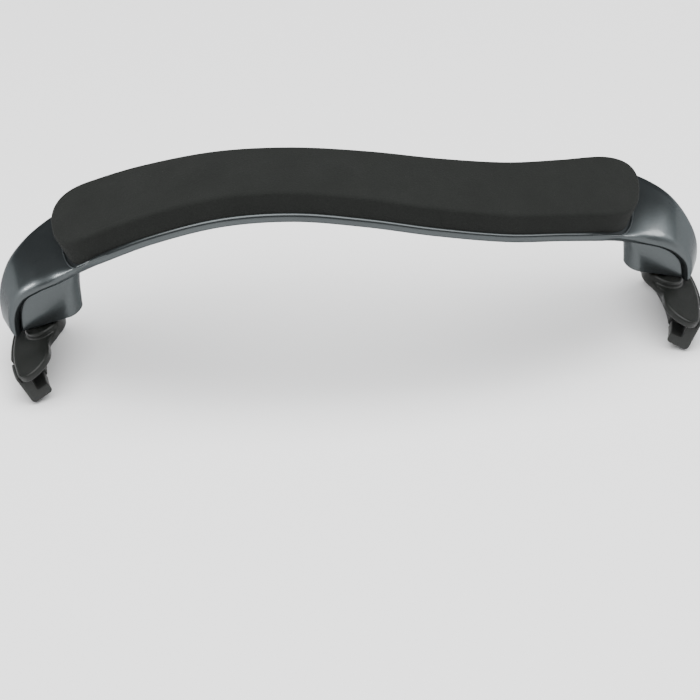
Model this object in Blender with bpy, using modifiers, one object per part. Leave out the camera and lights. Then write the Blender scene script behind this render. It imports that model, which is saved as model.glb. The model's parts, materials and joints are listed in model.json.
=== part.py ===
"""Shoulder rest for a viola: a moulded arch with a foam pad and two screw-in feet.

Metres, +X along the arch towards the right foot, -Y the side that faces the player's chest,
+Z up. The shape is worked out in design coordinates, whose origin lies midway between the undersides
of the two foot hubs, and the frame empty moves it all to the bottom centre of the whole rest.
"""
import math

import bmesh
import bpy
from mathutils import Matrix, Vector
from mathutils.bvhtree import BVHTree

# ---- driving dimensions -------------------------------------------------------------------------
FRAME_ORIGIN = (-0.00102, -0.00362, -0.01561)  # bottom centre of the rest, in design coordinates

# The beam's middle surface, from the left end to the right:
# x, z, front edge y, back edge y (metres), how far the back edge is tilted up (degrees),
# and how far the front edge curls down below that slope (metres)
BEAM_STATIONS = [
    (-0.1250, -0.0040, -0.0040, 0.0105, 17.0, 0.0),
    (-0.1254, 0.0102, -0.0046, 0.0110, 18.0, 0.0003),
    (-0.1217, 0.0218, -0.0056, 0.0118, 17.0, 0.0020),
    (-0.1150, 0.0303, -0.0078, 0.0122, 16.0, 0.0038),
    (-0.1070, 0.0364, -0.0112, 0.0125, 15.5, 0.0038),
    (-0.0985, 0.0415, -0.0165, 0.0127, 12.0, 0.0019),
    (-0.0895, 0.0461, -0.0222, 0.0125, 7.0, 0.0004),
    (-0.0700, 0.0534, -0.0256, 0.0098, 3.4, 0.0),
    (-0.0450, 0.0602, -0.0290, 0.0045, 2.4, 0.0),
    (-0.0200, 0.0623, -0.0318, -0.0004, 4.4, 0.0),
    (0.0050, 0.0601, -0.0341, -0.0037, 8.4, 0.0),
    (0.0300, 0.0547, -0.0345, -0.0041, 10.9, 0.0),
    (0.0550, 0.0486, -0.0322, -0.0011, 11.9, 0.0),
    (0.0750, 0.0446, -0.0282, 0.0038, 12.4, 0.0),
    (0.0895, 0.0415, -0.0242, 0.0084, 14.0, 0.0004),
    (0.0985, 0.0378, -0.0178, 0.0106, 17.0, 0.0018),
    (0.1065, 0.0333, -0.0118, 0.0117, 19.0, 0.0033),
    (0.1140, 0.0271, -0.0078, 0.0120, 20.0, 0.0031),
    (0.1200, 0.0186, -0.0057, 0.0117, 19.0, 0.0015),
    (0.1234, 0.0095, -0.0046, 0.0110, 18.0, 0.0003),
    (0.1228, -0.0040, -0.0040, 0.0105, 17.0, 0.0),
]
CURL_FROM = 0.3  # the curl starts here across the beam, where -1 is the front edge and 1 the back
CURL_WAY = (0, -0.6, -1)
BEAM_THICKNESS = 0.0037
BEAM_EDGE = 0.0012
BEAM_ALONG = 84
BEAM_ACROSS = 6

PAD_LEFT = (-0.1030, -0.0185, 0.0140)  # x, front edge y and back edge y, before its corners are rounded
PAD_RIGHT = (0.1015, -0.0192, 0.0130)
PAD_ROUND = 0.0150  # how much of each end the rounded corners take
PAD_SQUARENESS = 2.7  # 2 makes the ends elliptical, more makes them squarer
PAD_THICKNESS = 0.0070
PAD_DRAFT = (0.0012, 0.0004)  # how far the front and back sides lean in
PAD_INSET = 0.0013
FILM_THICKNESS = 0.0004
FILM_INSET = 0.0026
GAP = 0.0003

FOOT_X = 0.1118  # each hub's centre from the middle
FOOT_TILT = math.radians(25)  # the screw axes lean outwards going up
FOOT_TURN = math.radians(7.5)  # the feet's front ends point outwards at rest
PLATE = 0.0030
HUB_HEIGHT = 0.0052
HUB_RADIUS = 0.0076
HUB_BASE_RADIUS = 0.0070
HUB_BASE = 0.0003  # how far the hub stands out under the plate
BOSS_FACE = 0.0061  # height of a boss's underside over the hub's, along the screw

BOSS_ANGLE = math.radians(16)  # the row of holes runs inwards and to the front
BOSS_WIDTH = 0.0092
BOSS_OUTER_END = 0.0055  # centre of the outer round end, beyond the used hole
BOSS_INNER_END = 0.0140  # centre of the inner one
HOLE_SPACING = 0.0074
HOLES = ("outer", "middle", "inner")
HOLE_DEPTH = 0.0122
INSERT_LENGTH = 0.0080
INSERT_RADIUS = 0.0025
POST_RADIUS = 0.0018
POST_TOP = 0.0175
POST_FLANGE = 0.0031

RIM_RADIUS = 0.0600  # the foot's outer edge, an arc
RIM_REACH = 0.0132  # how far the arc stands out from the screw
PRONG = 0.0013
PRONG_DEPTH = 0.0078
RUBBER_SKIN = 0.0011
CLAW_TOP = 0.0022
CLAW_DEPTH = 0.0106
CLAW_LIP = 0.0040
CLAW_REACH = 0.0062  # the lip's inner edge from the screw
CLAW_END_WALL = math.radians(1.2)
CLAW_SPANS = {
    "front": (math.radians(14.6), math.radians(24.6)),
    "centre": (math.radians(-12.0), math.radians(12.0)),
    "rear": (math.radians(-24.6), math.radians(-14.6)),
}

MATERIALS = {
    "painted_plastic": ((0.045, 0.066, 0.073), 0.22, 0.55),
    "foam": ((0.035, 0.038, 0.035), 0.95, 0.0),
    "adhesive": ((0.60, 0.57, 0.48), 0.60, 0.0),
    "hard_plastic": ((0.020, 0.021, 0.020), 0.45, 0.0),
    "rubber": ((0.030, 0.031, 0.030), 0.70, 0.0),
    "brass": ((0.60, 0.45, 0.20), 0.35, 1.0),
    "steel": ((0.55, 0.56, 0.57), 0.30, 1.0),
}


# ---- scene and helpers --------------------------------------------------------------------------
for old in list(bpy.data.objects):
    bpy.data.objects.remove(old, do_unlink=True)
parts = bpy.data.collections.new("shoulder_rest")
cutters = bpy.data.collections.new("cutters")
for group in (parts, cutters):
    bpy.context.scene.collection.children.link(group)


def material(name, slot):
    colour, roughness, metallic = MATERIALS[slot]
    made = bpy.data.materials.new(name)
    made.use_nodes = True
    shader = made.node_tree.nodes["Principled BSDF"]
    shader.inputs["Base Color"].default_value = (*colour, 1)
    shader.inputs["Roughness"].default_value = roughness
    shader.inputs["Metallic"].default_value = metallic
    return made


def add(name, mesh, parent, slot=None):
    """An object in the parts, with its own material, or in the cutters if it has no slot."""
    made = bpy.data.objects.new(name, mesh)
    made.parent = parent
    if slot:
        made.data.materials.append(material(name, slot))
        parts.objects.link(made)
    else:
        made.hide_render = True
        made.display_type = "WIRE"
        cutters.objects.link(made)
    return made


def empty(name, parent, matrix):
    made = bpy.data.objects.new(name, None)
    made.parent = parent
    made.matrix_local = matrix
    parts.objects.link(made)
    return made


def boolean(target, other, operation):
    step = target.modifiers.new(other.name, "BOOLEAN")
    step.operation = operation
    step.solver = "EXACT"
    step.object = other


def bevel(target, width, segments=2, angle=40):
    step = target.modifiers.new("edge", "BEVEL")
    step.width = width
    step.segments = segments
    step.limit_method = "ANGLE"
    step.angle_limit = math.radians(angle)


def smooth(mesh, angle=35):
    mesh.shade_smooth()
    mesh.set_sharp_from_angle(angle=math.radians(angle))


def loft(name, rings):
    """A closed mesh through rings of equal length, each ring a list of points."""
    bm = bmesh.new()
    made = [[bm.verts.new(point) for point in ring] for ring in rings]
    count = len(made[0])
    for low, high in zip(made, made[1:]):
        for i in range(count):
            j = (i + 1) % count
            bm.faces.new((low[i], low[j], high[j], high[i]))
    bm.faces.new(list(reversed(made[0])))
    bm.faces.new(made[-1])
    bmesh.ops.recalc_face_normals(bm, faces=bm.faces)
    mesh = bpy.data.meshes.new(name)
    bm.to_mesh(mesh)
    bm.free()
    return mesh


def turned(name, profile, parent, slot=None, sides=32, ring=False):
    """A solid turned about Z: the profile's (radius, z) points run down its outer side.

    A ring's profile closes on itself, so that it has a bore.
    """
    mesh = bpy.data.meshes.new(name)
    points = [(radius, 0, z) for radius, z in profile]
    edges = [(i, i + 1) for i in range(len(points) - 1)]
    if ring:
        edges.append((len(points) - 1, 0))
    mesh.from_pydata(points, edges, [])
    made = add(name, mesh, parent, slot)
    screw = made.modifiers.new("turn", "SCREW")
    screw.steps = sides
    screw.render_steps = sides
    screw.use_merge_vertices = True
    screw.merge_threshold = 0.00001
    return made


# ---- the beam's middle surface --------------------------------------------------------------------
def between(knots, rows, wanted):
    """The row at a wanted place among the knots, on a smooth curve through all the rows."""
    i = max(k for k in range(len(rows) - 1) if knots[k] <= wanted or k == 0)

    def slope(k):
        low = max(k - 1, 0)
        high = min(k + 1, len(rows) - 1)
        return [(b - a) / (knots[high] - knots[low]) for a, b in zip(rows[low], rows[high])]

    span = knots[i + 1] - knots[i]
    t = (wanted - knots[i]) / span
    weights = (2 * t**3 - 3 * t**2 + 1, t**3 - 2 * t**2 + t, 3 * t**2 - 2 * t**3, t**3 - t**2)
    columns = zip(rows[i], slope(i), rows[i + 1], slope(i + 1))
    return [
        weights[0] * a + weights[1] * span * s + weights[2] * b + weights[3] * span * e
        for a, s, b, e in columns
    ]


def beam_row(position):
    """The beam's station at a position from 0, the left end, to 1, the right end."""
    steps = [math.dist(a[:2], b[:2]) for a, b in zip(BEAM_STATIONS, BEAM_STATIONS[1:])]
    knots = [sum(steps[:k]) for k in range(len(BEAM_STATIONS))]
    return between(knots, BEAM_STATIONS, position * knots[-1])


def beam_frame(position):
    """A cross-section's centre, its direction from front to back, its half width, its way up."""
    x, z, front, back, tilt, _ = beam_row(position)
    before = beam_row(max(position - 0.004, 0))
    after = beam_row(min(position + 0.004, 1))
    along = Vector((after[0] - before[0], 0, after[1] - before[1])).normalized()
    level = Vector((-along.z, 0, along.x))
    across = Vector((0, 1, 0)) * math.cos(math.radians(tilt)) + level * math.sin(math.radians(tilt))
    up = along.cross(across).normalized()
    half = (back - front) / 2 / math.cos(math.radians(tilt))
    return Vector((x, (front + back) / 2, z)), across, half, up


def beam_point(position, v, margin=0.0):
    """A point of the middle surface, at v from -1, the front edge, to 1, the back edge."""
    centre, across, half, _ = beam_frame(position)
    curl = beam_row(position)[5] * (max(CURL_FROM - v, 0) / (CURL_FROM + 1)) ** 2
    return centre + across * (half + margin) * v + Vector(CURL_WAY) * curl


def position_at(x):
    """How far along the beam a place on its upper side lies, by bisection."""
    low, high = 0.15, 0.85
    for _ in range(30):
        middle = (low + high) / 2
        if beam_row(middle)[0] < x:
            low = middle
        else:
            high = middle
    return (low + high) / 2


def beam_grid(margin=0.0):
    """The middle surface as a grid of quads, with an extra margin along both edges."""
    bm = bmesh.new()
    grid = []
    for i in range(BEAM_ALONG + 1):
        steps = [2 * j / BEAM_ACROSS - 1 for j in range(BEAM_ACROSS + 1)]
        grid.append([bm.verts.new(beam_point(i / BEAM_ALONG, v, margin)) for v in steps])
    for near, far in zip(grid, grid[1:]):
        for j in range(BEAM_ACROSS):
            bm.faces.new((near[j], far[j], far[j + 1], near[j + 1]))
    return bm


def beam_surface():
    bm = beam_grid()
    mesh = bpy.data.meshes.new("beam")
    bm.to_mesh(mesh)
    bm.free()
    return mesh


def beam_ceiling():
    """The same surface, a little wider, to find how far up a boss has to reach."""
    bm = beam_grid(margin=0.006)
    ceiling = BVHTree.FromBMesh(bm)
    bm.free()
    return ceiling


def pad_edges(wanted):
    """The pad's front and back edges at a wanted x: the beam's own, run on past its corners."""
    on_beam = [(x, front, back) for x, _, front, back, *_ in BEAM_STATIONS if abs(x) < 0.090]
    rows = [PAD_LEFT] + on_beam + [PAD_RIGHT]
    return between([row[0] for row in rows], rows, wanted)[1:]


def layer(name, low, high, inset, draft, parent, slot, steps=60):
    """A slab that follows the beam's top, between two heights over it, with rounded ends."""
    rings = []
    for i in range(steps + 1):
        # stations crowd towards both ends, where the outline is round
        share = (1 - math.cos(math.pi * i / steps)) / 2
        x = (PAD_LEFT[0] + inset) * (1 - share) + (PAD_RIGHT[0] - inset) * share
        front, back = pad_edges(x)
        centre, across, _, up = beam_frame(position_at(x))
        from_end = min(x - PAD_LEFT[0], PAD_RIGHT[0] - x) - inset
        out = min(max(1 - from_end / PAD_ROUND, 0), 1)
        squash = max((1 - out**PAD_SQUARENESS) ** (1 / PAD_SQUARENESS), 0.05)
        half = ((back - front) / 2 - inset) * squash / across.y
        middle = centre + across * ((front + back) / 2 - centre.y) / across.y
        base = middle + up * BEAM_THICKNESS / 2
        lean_front, lean_back = (min(lean, half / 3) for lean in draft)
        steps_across = [v / 2 for v in range(-2, 3)]
        low_edges = [base + across * v * half + up * low for v in steps_across]
        top_middle = base + across * (lean_front - lean_back) / 2 + up * high
        top_half = half - (lean_front + lean_back) / 2
        top_edges = [top_middle + across * v * top_half for v in reversed(steps_across)]
        rings.append(low_edges + top_edges)
    return add(name, loft(name, rings), parent, slot)


# ---- feet -----------------------------------------------------------------------------------------
def stadium(start, end, radius, steps=10):
    """Points round a bar with round ends, anticlockwise."""
    start, end = Vector(start), Vector(end)
    heading = math.atan2(end.y - start.y, end.x - start.x)
    points = []
    for centre, first in ((start, heading + math.pi / 2), (end, heading - math.pi / 2)):
        for i in range(steps + 1):
            angle = first + math.pi * i / steps
            points.append(centre + radius * Vector((math.cos(angle), math.sin(angle))))
    return points


def row_direction(side):
    """The way from the used hole to the spare ones, in the foot's own X and Y."""
    return Vector((-math.cos(BOSS_ANGLE), -side * math.sin(BOSS_ANGLE)))


def boss(side, ceiling, to_design):
    """A column with a bar-shaped foot square to the screws, and walls that rise straight up."""
    way = row_direction(side)
    low = BOSS_FACE - 0.002
    up = Vector((0, 0, 1))

    def ring(share, top):
        ends = (-BOSS_OUTER_END * share * way, BOSS_INNER_END * way)
        points = []
        for point in stadium(*ends, BOSS_WIDTH / 2 * share):
            foot = to_design @ Vector((point.x, point.y, low))
            points.append(foot + up * ceiling.ray_cast(foot, up)[3] if top else foot)
        return points

    # the roof's inner rings let it follow the curve of the beam
    rings = [ring(1, False)] + [ring(share, True) for share in (1, 0.7, 0.4, 0.1)]
    return add(f"{side_name(side)}_boss", loft("boss", rings), frame)


def trim(side, seat):
    """A block that cuts the hood and the boss off square to the screw."""
    bm = bmesh.new()
    bmesh.ops.create_cube(bm, size=1)
    bmesh.ops.scale(bm, vec=(0.06, 0.05, 0.02), verts=bm.verts)
    bmesh.ops.translate(bm, vec=(-0.004, 0, BOSS_FACE - 0.010), verts=bm.verts)
    mesh = bpy.data.meshes.new("trim")
    bm.to_mesh(mesh)
    bm.free()
    return add(f"{side_name(side)}_trim", mesh, seat)


def hole(side, seat, name, place):
    """A hole with a wide mouth for the insert and a narrow bore for the post's tip."""
    mouth = BOSS_FACE + INSERT_LENGTH + 2 * GAP
    wide = INSERT_RADIUS + GAP
    narrow = POST_RADIUS + GAP
    floor = BOSS_FACE - 0.001
    top = BOSS_FACE + HOLE_DEPTH
    profile = [(0, top), (narrow, top), (narrow, mouth), (wide, mouth), (wide, floor), (0, floor)]
    made = turned(f"{side_name(side)}_hole_{name}", profile, seat, sides=24)
    made.location = place
    return made


def insert(side, seat, name, place):
    """A threaded metal sleeve, pressed into the hole from below."""
    low = BOSS_FACE + GAP
    high = low + INSERT_LENGTH
    inner = POST_RADIUS + GAP
    outer = INSERT_RADIUS
    profile = [(inner, high), (outer, high), (outer, low), (inner, low)]
    made = turned(f"{side_name(side)}_insert_{name}", profile, seat, "brass", sides=24, ring=True)
    made.location = place
    return made


def on_rim(radius, angle, z):
    """A point of the foot at an angle about the centre of its outer edge's arc."""
    reach = RIM_RADIUS + radius - RIM_REACH
    return Vector((RIM_REACH - RIM_RADIUS + reach * math.cos(angle), reach * math.sin(angle), z))


def rim_block(name, profile, start, end, parent, slot=None, steps=10):
    """A (radius, z) outline swept round the foot's outer edge, from one angle to another."""
    angles = [start + (end - start) * i / steps for i in range(steps + 1)]
    rings = [[on_rim(radius, angle, z) for radius, z in profile] for angle in angles]
    return add(name, loft(name, rings), parent, slot)


def bracket_outline():
    """The foot plate's outline: the arc outside, a hub and two lobes inside, as (x, y) points."""
    ends = math.radians(25.2)
    half = [(on_rim(RIM_REACH, ends * i / 6, 0).x, on_rim(RIM_REACH, ends * i / 6, 0).y) for i in range(7)]
    half += [(0.0042, 0.0272), (0.0006, 0.0256), (-0.0022, 0.0222), (-0.0037, 0.0180), (-0.0034, 0.0142)]
    half += [(-0.0028, 0.0108), (-0.0048, 0.0072)]
    for degrees in (140, 160, 180):
        angle = math.radians(degrees)
        half.append((HUB_RADIUS * math.cos(angle), HUB_RADIUS * math.sin(angle)))
    mirrored = [(x, -y) for x, y in reversed(half[1:-1])]
    return half + mirrored


def bracket(side, turn_seat):
    """The hard foot: a flat crescent plate with a hub, joined to three prongs."""
    name = f"{side_name(side)}_bracket"
    outline = bracket_outline()
    curve = bpy.data.curves.new(name, "CURVE")
    curve.dimensions = "2D"
    curve.fill_mode = "BOTH"
    curve.extrude = PLATE / 2
    spline = curve.splines.new("BEZIER")
    spline.bezier_points.add(len(outline) - 1)
    for point, (x, y) in zip(spline.bezier_points, outline):
        point.co = (x, y, 0)
        point.handle_left_type = "AUTO"
        point.handle_right_type = "AUTO"
    spline.use_cyclic_u = True
    spline.resolution_u = 3
    guide = add(f"{name}_outline", curve, turn_seat)
    bpy.context.view_layer.update()
    mesh = bpy.data.meshes.new_from_object(guide.evaluated_get(bpy.context.evaluated_depsgraph_get()))
    bpy.data.objects.remove(guide, do_unlink=True)
    bm = bmesh.new()
    bm.from_mesh(mesh)
    bmesh.ops.remove_doubles(bm, verts=bm.verts, dist=0.00001)
    bmesh.ops.translate(bm, vec=(0, 0, PLATE / 2), verts=bm.verts)
    bm.to_mesh(mesh)
    bm.free()
    mesh.materials.clear()
    made = add(name, mesh, turn_seat, "hard_plastic")
    bevel(made, 0.0005)
    profile = [(0, HUB_HEIGHT), (HUB_RADIUS - 0.0012, HUB_HEIGHT), (HUB_RADIUS - 0.0003, HUB_HEIGHT - 0.0006)]
    profile += [(HUB_RADIUS, HUB_HEIGHT - 0.0016), (HUB_RADIUS, 0.0010), (HUB_BASE_RADIUS, 0.0010)]
    profile += [(HUB_BASE_RADIUS, -HUB_BASE), (0, -HUB_BASE)]
    boolean(made, turned(f"{name}_hub", profile, turn_seat), "UNION")
    root = 0.0010
    section = [
        (RIM_REACH - PRONG, root),
        (RIM_REACH - 0.0006, root),
        (RIM_REACH - 0.0001, -0.0005),
        (RIM_REACH - 0.0001, -PRONG_DEPTH),
        (RIM_REACH - PRONG, -PRONG_DEPTH),
    ]
    for place, (start, end) in CLAW_SPANS.items():
        wall = 2 * CLAW_END_WALL
        prong = rim_block(f"{name}_{place}_prong", section, start + wall, end - wall, turn_seat, steps=6)
        boolean(made, prong, "UNION")
    socket_low = 0.0007
    socket_step = 0.0020
    profile = [
        (0, HUB_HEIGHT + 0.001),
        (POST_RADIUS + GAP, HUB_HEIGHT + 0.001),
        (POST_RADIUS + GAP, socket_step),
        (POST_FLANGE + GAP, socket_step),
        (POST_FLANGE + GAP, socket_low),
        (0, socket_low),
    ]
    socket = turned(f"{name}_socket", profile, turn_seat, sides=24)
    boolean(made, socket, "DIFFERENCE")
    return made


def post(side, seat):
    """The threaded post, here a plain rod, with the flange that the hub is moulded round."""
    low = 0.0010
    step = 0.0017
    profile = [(0, POST_TOP), (POST_RADIUS - 0.0005, POST_TOP), (POST_RADIUS, POST_TOP - 0.0005)]
    profile += [(POST_RADIUS, step), (POST_FLANGE, step), (POST_FLANGE, low), (0, low)]
    return turned(f"{side_name(side)}_post", profile, seat, "steel", sides=24)


def claw(side, turn_seat, place):
    """A rubber sleeve over one prong: an outer wall, and a lip that hooks under the instrument."""
    name = f"{side_name(side)}_{place}_claw"
    start, end = CLAW_SPANS[place]
    outer = RIM_REACH + GAP + RUBBER_SKIN
    inner = RIM_REACH - PRONG - GAP - RUBBER_SKIN
    ease = 0.0008
    section = [
        (RIM_REACH + GAP, CLAW_TOP),
        (RIM_REACH + GAP, -GAP),
        (inner, -GAP),
        (inner, CLAW_LIP - CLAW_DEPTH),
        (CLAW_REACH + ease, CLAW_LIP - CLAW_DEPTH),
        (CLAW_REACH, CLAW_LIP - CLAW_DEPTH - ease),
        (CLAW_REACH, ease - CLAW_DEPTH),
        (CLAW_REACH + ease, -CLAW_DEPTH),
        (outer - ease, -CLAW_DEPTH),
        (outer, ease - CLAW_DEPTH),
        (outer, CLAW_TOP),
    ]
    made = rim_block(name, section, start, end, turn_seat, "rubber")
    pocket = [
        (RIM_REACH - PRONG - GAP, 0.001),
        (RIM_REACH + GAP, 0.001),
        (RIM_REACH + GAP, -PRONG_DEPTH - GAP),
        (RIM_REACH - PRONG - GAP, -PRONG_DEPTH - GAP),
    ]
    cut = rim_block(f"{name}_pocket", pocket, start + CLAW_END_WALL, end - CLAW_END_WALL, turn_seat)
    boolean(made, cut, "DIFFERENCE")
    return made


def side_name(side):
    return "right" if side > 0 else "left"


# ---- build ----------------------------------------------------------------------------------------
frame = empty("frame", None, Matrix.Translation(-Vector(FRAME_ORIGIN)))

beam = add("beam", beam_surface(), frame, "painted_plastic")
shell = beam.modifiers.new("wall", "SOLIDIFY")
shell.thickness = BEAM_THICKNESS
shell.offset = 0
shell.use_even_offset = True
bevel(beam, BEAM_EDGE, angle=50)

film_low = GAP
film_high = film_low + FILM_THICKNESS
layer("pad_adhesive", film_low, film_high, FILM_INSET, (0, 0), frame, "adhesive")
layer("foam_pad", film_high + GAP, film_high + GAP + PAD_THICKNESS, PAD_INSET, PAD_DRAFT, frame, "foam")

ceiling = beam_ceiling()
for side in (-1, 1):
    lean = Matrix.Rotation(FOOT_TILT, 4, "Y")
    about = Matrix.Identity(4) if side > 0 else Matrix.Rotation(math.pi, 4, "Z")
    to_design = Matrix.Translation((side * FOOT_X, 0, 0)) @ about @ lean
    seat = empty(f"{side_name(side)}_screw_axis", frame, to_design)
    turn_seat = empty(f"{side_name(side)}_foot_turn", seat, Matrix.Rotation(side * FOOT_TURN, 4, "Z"))

    boolean(beam, boss(side, ceiling, to_design), "UNION")
    boolean(beam, trim(side, seat), "DIFFERENCE")
    way = row_direction(side)
    for index, name in enumerate(HOLES):
        place = (*(way * HOLE_SPACING * index), 0)
        boolean(beam, hole(side, seat, name, place), "DIFFERENCE")
        insert(side, seat, name, place)

    post(side, seat)
    bracket(side, turn_seat)
    for place in CLAW_SPANS:
        claw(side, turn_seat, place)

for made in parts.objects:
    if made.type == "MESH":
        smooth(made.data)
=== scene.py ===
"""Shoulder rest for a viola: the finished surfaces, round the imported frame."""

import json
import math

import bmesh
import bpy
import numpy as np
from mathutils import Matrix, Vector
from mathutils.bvhtree import BVHTree


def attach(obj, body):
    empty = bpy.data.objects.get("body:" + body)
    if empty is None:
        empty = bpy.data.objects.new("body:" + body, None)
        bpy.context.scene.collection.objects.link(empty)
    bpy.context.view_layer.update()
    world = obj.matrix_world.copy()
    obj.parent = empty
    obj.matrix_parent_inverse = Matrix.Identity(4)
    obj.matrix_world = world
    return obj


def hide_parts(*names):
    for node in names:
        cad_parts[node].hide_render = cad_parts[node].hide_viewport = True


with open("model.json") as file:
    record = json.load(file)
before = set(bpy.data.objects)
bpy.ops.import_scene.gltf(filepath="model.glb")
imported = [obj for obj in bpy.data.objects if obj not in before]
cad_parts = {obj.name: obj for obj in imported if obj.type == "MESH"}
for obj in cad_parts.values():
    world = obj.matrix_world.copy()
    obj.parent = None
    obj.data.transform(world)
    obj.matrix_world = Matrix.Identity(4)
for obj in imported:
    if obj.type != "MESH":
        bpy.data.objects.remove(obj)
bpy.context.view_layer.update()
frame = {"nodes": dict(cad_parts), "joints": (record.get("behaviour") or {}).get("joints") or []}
joints = {joint["name"]: joint for joint in frame["joints"]}

# ---- the object's own dimensions, as in its design ---------------------------------------------------
# The beam's middle surface, from the left end to the right:
# x, z, front edge y, back edge y (metres), how far the back edge is tilted up (degrees),
# and how far the front edge curls down below that slope (metres)
BEAM_STATIONS = np.array([
    (-0.1250, -0.0040, -0.0040, 0.0105, 17.0, 0.0),
    (-0.1254, 0.0102, -0.0046, 0.0110, 18.0, 0.0003),
    (-0.1217, 0.0218, -0.0056, 0.0118, 17.0, 0.0020),
    (-0.1150, 0.0303, -0.0078, 0.0122, 16.0, 0.0038),
    (-0.1070, 0.0364, -0.0112, 0.0125, 15.5, 0.0038),
    (-0.0985, 0.0415, -0.0165, 0.0127, 12.0, 0.0019),
    (-0.0895, 0.0461, -0.0222, 0.0125, 7.0, 0.0004),
    (-0.0700, 0.0534, -0.0256, 0.0098, 3.4, 0.0),
    (-0.0450, 0.0602, -0.0290, 0.0045, 2.4, 0.0),
    (-0.0200, 0.0623, -0.0318, -0.0004, 4.4, 0.0),
    (0.0050, 0.0601, -0.0341, -0.0037, 8.4, 0.0),
    (0.0300, 0.0547, -0.0345, -0.0041, 10.9, 0.0),
    (0.0550, 0.0486, -0.0322, -0.0011, 11.9, 0.0),
    (0.0750, 0.0446, -0.0282, 0.0038, 12.4, 0.0),
    (0.0895, 0.0415, -0.0242, 0.0084, 14.0, 0.0004),
    (0.0985, 0.0378, -0.0178, 0.0106, 17.0, 0.0018),
    (0.1065, 0.0333, -0.0118, 0.0117, 19.0, 0.0033),
    (0.1140, 0.0271, -0.0078, 0.0120, 20.0, 0.0031),
    (0.1200, 0.0186, -0.0057, 0.0117, 19.0, 0.0015),
    (0.1234, 0.0095, -0.0046, 0.0110, 18.0, 0.0003),
    (0.1228, -0.0040, -0.0040, 0.0105, 17.0, 0.0),
])
# a place across the beam is v, from -1 at its front edge to 1 at its back edge
CURL_FROM = 0.3  # the curl starts at this v, and grows towards the front edge
CURL_WAY = np.array((0, -0.6, -1))
THICKNESS = 0.0037
EDGE = 0.0012  # the beam's edges are rounded over this width
HOOD_EDGE = 0.0034  # and the hoods' outer edges over this
HOOD_FROM = 0.096  # the wider rounding starts this far out,
HOOD_BLEND = 0.012  # and is full after this much more
EDGE_FULLNESS = 2.2  # 2 makes them round, more makes them squarer
BEAM_ROWS = 300
BEAM_COLUMNS = 22

# a shallow panel pressed into the beam's underside; each end: its x at v = 0, and its slant to v = 1
PANEL_LEFT = (-0.0291, 0.0044)
PANEL_RIGHT = (0.0617, -0.0010)
PANEL_FRONT = -0.80
PANEL_BACK = 0.86
PANEL_DEPTH = 0.00028
PANEL_RAMP = 0.0009  # its ends slope over this length
PANEL_SIDE_RAMP = 0.10  # and its sides over this much of v

# the pad's ends: x, front edge y, back edge y
PAD_LEFT = (-0.1030, -0.0185, 0.0140)
PAD_RIGHT = (0.1015, -0.0192, 0.0130)
PAD_FOLLOWS = 0.090  # up to this far out its edges follow the beam's
PAD_ROUND = 0.0150  # each end is rounded over this length
PAD_SQUARENESS = 2.7  # 2 makes the ends round, more makes them squarer
PAD_END_WIDTH = 0.10  # the share of its width that is left at its very ends
PAD_INSET = 0.0013  # it lies this far inside those edges and ends
PAD_TOP = 0.0080  # its height over the beam
PAD_DRAFT = (0.0012, 0.0004)  # how far its front and back lean inwards, up to its top
PAD_EASE = 0.0013  # its top's edge is rounded over this width,
PAD_DROP = 0.00015  # starts this much lower than its height,
PAD_CROWN = 0.00025  # and its top rises by this much
PAD_CROWN_WIDTH = 0.010  # over this width
PAD_FLOAT = 0.00006  # its underside's rim lies this far over the beam
FILM_ROOM = 0.00090  # inside the rim it is this much higher, over the film
FILM_RIM = 0.0008
FILM_RAMP = 0.0012
PAD_ROWS = 190
PAD_COLUMNS = 34

# thin ridges moulded on the beam round the pad's ends
LIP_RADIUS = 0.00045
LIP_GAP = 0.0007
LIP_REACH = 0.0150
LIP_FADE = 0.006  # they sink into the beam over this length
LIP_STANDS = 0.10  # their middle's height over the beam, in radii,
LIP_SUNK = -1.05  # and at their ends

FOOT_TURN = math.radians(7.5)  # how far the feet are turned at rest
BOSS_FACE = 0.0061
BOSS_ANGLE = math.radians(16)
BOSS_RADIUS = 0.0046
BOSS_OUTER_END = 0.0055
BOSS_INNER_END = 0.0140
BOSS_EASE = 0.0005
# how far its inner end spreads along the beam and forwards, in a fillet, and how far its front leans
BOSS_FILLET = {"left": (0.0070, 0.0008, 0.0016), "right": (0.0120, 0.0008, 0.0016)}
FILLET_SHARE = 0.72  # of the boss's height
ROOF_RINGS = (0.94, 0.75, 0.5, 0.25, 0.08)  # shares of its roof's outline
ROOF_SINK = 0.0004  # its roof lies this far below the beam's middle surface
CEILING_MARGIN = 0.006  # how much wider than the beam it may find that surface
LEAST_UPRIGHT = 0.35  # the least upward share of that surface's normal that counts
HOLE_SPACING = 0.0074
HOLES = ("outer", "middle", "inner")
HOLE_DEPTH = 0.0122
INSERT_LENGTH = 0.0080
INSERT_RADIUS = 0.0025
POST_RADIUS = 0.0018
POST_TOP = 0.0175
POST_FLANGE = 0.0031
FLANGE_LOW = 0.0010
FLANGE_HIGH = 0.0017
PITCH = 0.0007
THREAD_DEPTH = 0.00030
THREAD_SLOPE = 1.35  # over 1 leaves a flat root
THREAD_CREST = 0.12  # over 0 leaves a flat crest
INSERT_THREAD_DEPTH = 0.00022
INSERT_PLAY = 0.00012
KNURL = 0.00006
GAP = 0.0003  # between pieces that touch
PAST = 0.001  # how far cutters reach past a surface

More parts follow.
